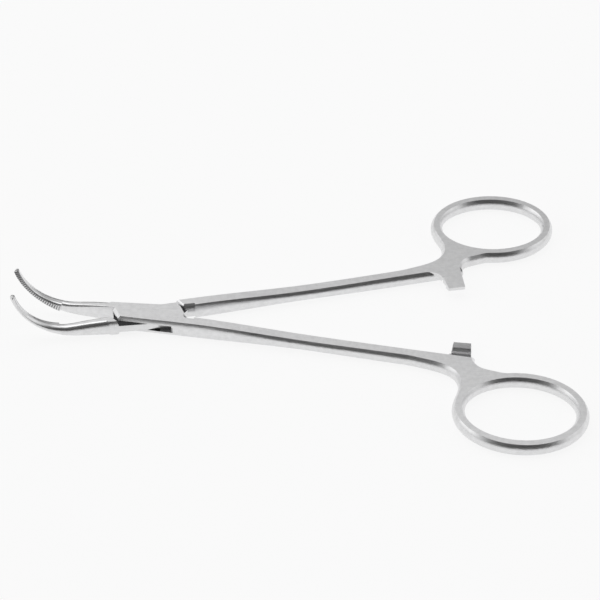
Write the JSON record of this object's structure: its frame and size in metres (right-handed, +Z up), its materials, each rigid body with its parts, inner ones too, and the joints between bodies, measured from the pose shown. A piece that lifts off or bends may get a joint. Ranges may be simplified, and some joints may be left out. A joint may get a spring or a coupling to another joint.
{
  "type": "right angle clamp",
  "caption": "Ring-handled surgical clamp with a box lock, ratchet tabs and slender serrated jaws that bend up to a right angle, lying partly open.",
  "frame": {"origin": "on the table, under the centre of the rivet, at the underside of the box lock", "axes": "+X along the clamp from the rivet towards the finger rings, +Y towards the tongue half's ring, +Z up, the way the jaws bend"},
  "size_m": [0.1402, 0.095, 0.0145],
  "materials": {
    "satin_steel": "satin, finely brushed stainless steel"
  },
  "bodies": {
    "box_side": {"box_half": "satin_steel", "pivot_pin": "satin_steel"},
    "tongue_side": {"tongue_half": "satin_steel"}
  },
  "joints": [
    {"name": "box_lock", "type": "hinge", "parent": "box_side", "child": "tongue_side", "pos_m": [0, 0, 0.00225], "axis": [0, 0, 1], "range_deg": [-15.4, 30]}
  ]
}
